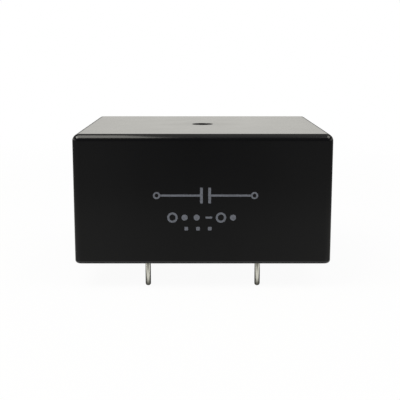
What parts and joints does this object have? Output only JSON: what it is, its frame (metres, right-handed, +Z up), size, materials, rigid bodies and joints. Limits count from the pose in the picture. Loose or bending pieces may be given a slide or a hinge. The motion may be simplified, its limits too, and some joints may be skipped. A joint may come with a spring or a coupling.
{
  "type": "film capacitor",
  "caption": "Box film capacitor: a low black moulded case, resin-potted around flattened film windings, with round tinned leads below its rim for soldering into a circuit board.",
  "frame": {"origin": "middle of the seating plane, where the rim of the case stands on the board", "axes": "+X from the left leads to the right leads, +Y from the front face to the rear, +Z up from the board"},
  "size_m": [0.047, 0.042, 0.0284],
  "materials": {
    "case_plastic": "semi-gloss moulded black plastic",
    "potting_resin": "cast filled resin, satin",
    "metallised_film": "wound metallised plastic film",
    "sprayed_metal": "sprayed metal, rough and matt",
    "solder": "bright solder",
    "tinned_wire": "tinned copper wire, satin"
  },
  "bodies": {
    "root": {"case": "case_plastic", "potting_resin": "potting_resin", "winding_left": "metallised_film", "winding_right": "metallised_film", "end_spray_front_left": "sprayed_metal", "solder_joint_front_left": "solder", "lead_front_left": "tinned_wire", "end_spray_front_right": "sprayed_metal", "solder_joint_front_right": "solder", "lead_front_right": "tinned_wire", "end_spray_rear_left": "sprayed_metal", "solder_joint_rear_left": "solder", "lead_rear_left": "tinned_wire", "end_spray_rear_right": "sprayed_metal", "solder_joint_rear_right": "solder", "lead_rear_right": "tinned_wire"}
  },
  "joints": []
}
